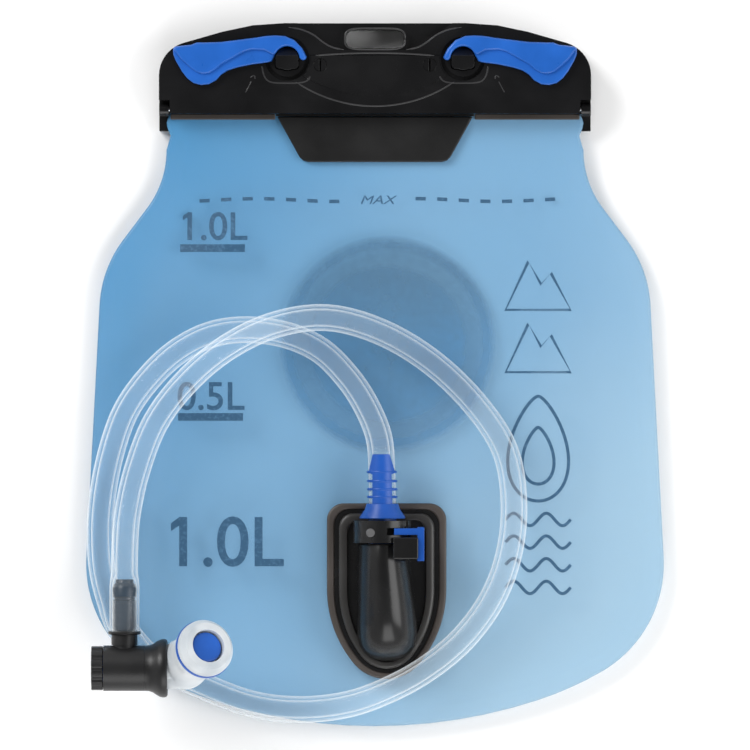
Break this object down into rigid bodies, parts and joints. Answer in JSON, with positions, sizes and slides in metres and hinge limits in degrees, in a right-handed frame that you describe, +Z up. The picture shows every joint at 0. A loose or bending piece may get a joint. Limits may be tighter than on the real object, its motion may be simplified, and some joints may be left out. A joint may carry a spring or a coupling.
{
  "type": "hydration bladder",
  "caption": "Flat film water reservoir for a pack, with a hinged mouth clamp, locking levers, quick-release hose dock, drinking hose and elbow bite valve.",
  "frame": {"origin": "middle of the bag and clamp seen from above, on the surface that the bladder lies on", "axes": "+Z up out of the front film, +Y towards the mouth clamp, +X to the right seen from the front"},
  "size_m": [0.204, 0.2482, 0.0531],
  "materials": {
    "film": "translucent matt TPU film",
    "clamp_black": "satin moulded nylon",
    "plate_grey": "fine matt moulded nylon",
    "bead_brown": "matt welded bead",
    "seal_rubber": "soft rubber",
    "lever_blue": "satin moulded acetal",
    "valve_blue": "moulded plastic",
    "dock_black": "semi-gloss moulded plastic",
    "elbow_black": "satin moulded plastic",
    "spring_steel": "bright steel",
    "hose_clear": "clear soft tube",
    "silicone": "milky silicone"
  },
  "bodies": {
    "bladder": {"rear_panel": "film", "front_panel": "film", "rear_jaw": "clamp_black", "mouth_gasket": "seal_rubber", "mouth_bead": "bead_brown", "mouth_tab": "clamp_black", "hinge_pins": "spring_steel", "dock_flange": "dock_black", "dock_bezel": "dock_black", "dock_body": "dock_black", "dock_collar": "dock_black", "dock_rivet": "spring_steel", "button_spring": "spring_steel", "poppet_spring": "spring_steel", "hose_connector": "lever_blue", "connector_oring": "seal_rubber", "hose": "hose_clear", "elbow_stem": "elbow_black", "stem_oring": "seal_rubber"},
    "upper_jaw": {"front_jaw": "clamp_black", "centre_plate": "plate_grey", "snap_pins": "plate_grey"},
    "lever_left": {"left_lever": "lever_blue"},
    "lever_right": {"right_lever": "lever_blue"},
    "button": {"release_button": "lever_blue", "button_pad": "dock_black"},
    "poppet": {"check_poppet": "valve_blue"},
    "elbow": {"elbow_body": "elbow_black", "valve_collar": "elbow_black", "mouthpiece": "silicone", "mouthpiece_ring": "valve_blue"},
    "shutoff": {"shutoff_knob": "elbow_black", "shutoff_core": "valve_blue", "core_oring": "seal_rubber"},
    "stopper": {"bite_poppet": "valve_blue"}
  },
  "joints": [
    {"name": "jaw_hinge", "type": "hinge", "parent": "bladder", "child": "upper_jaw", "pos_m": [0, 0.0938, 0.0082], "axis": [1, 0, 0], "range_deg": [0, 48]},
    {"name": "left_lever_turn", "type": "hinge", "parent": "upper_jaw", "child": "lever_left", "pos_m": [-0.031, 0.1115, 0.015], "axis": [0, 0, 1], "range_deg": [0, 32]},
    {"name": "right_lever_turn", "type": "hinge", "parent": "upper_jaw", "child": "lever_right", "pos_m": [0.031, 0.1115, 0.015], "axis": [0, 0, 1], "range_deg": [-32, 0]},
    {"name": "release_press", "type": "slide", "parent": "bladder", "child": "button", "axis": [-1, 0, 0], "range_m": [0, 0.002], "stiffness_N_per_m": 400},
    {"name": "poppet_lift", "type": "slide", "parent": "bladder", "child": "poppet", "axis": [0, -1, 0], "range_m": [0, 0.001], "stiffness_N_per_m": 200},
    {"name": "elbow_swivel", "type": "hinge", "parent": "bladder", "child": "elbow", "pos_m": [-0.088, -0.091, 0.028], "axis": [0, -1, 0], "range_deg": [0, 70]},
    {"name": "shutoff_turn", "type": "hinge", "parent": "elbow", "child": "shutoff", "pos_m": [-0.0956, -0.103, 0.028], "axis": [1, 0, 0], "range_deg": [0, 90]},
    {"name": "bite_press", "type": "slide", "parent": "elbow", "child": "stopper", "axis": [-0.3699, -0.289, -0.8829], "range_m": [0, 0.0012], "stiffness_N_per_m": 200}
  ]
}
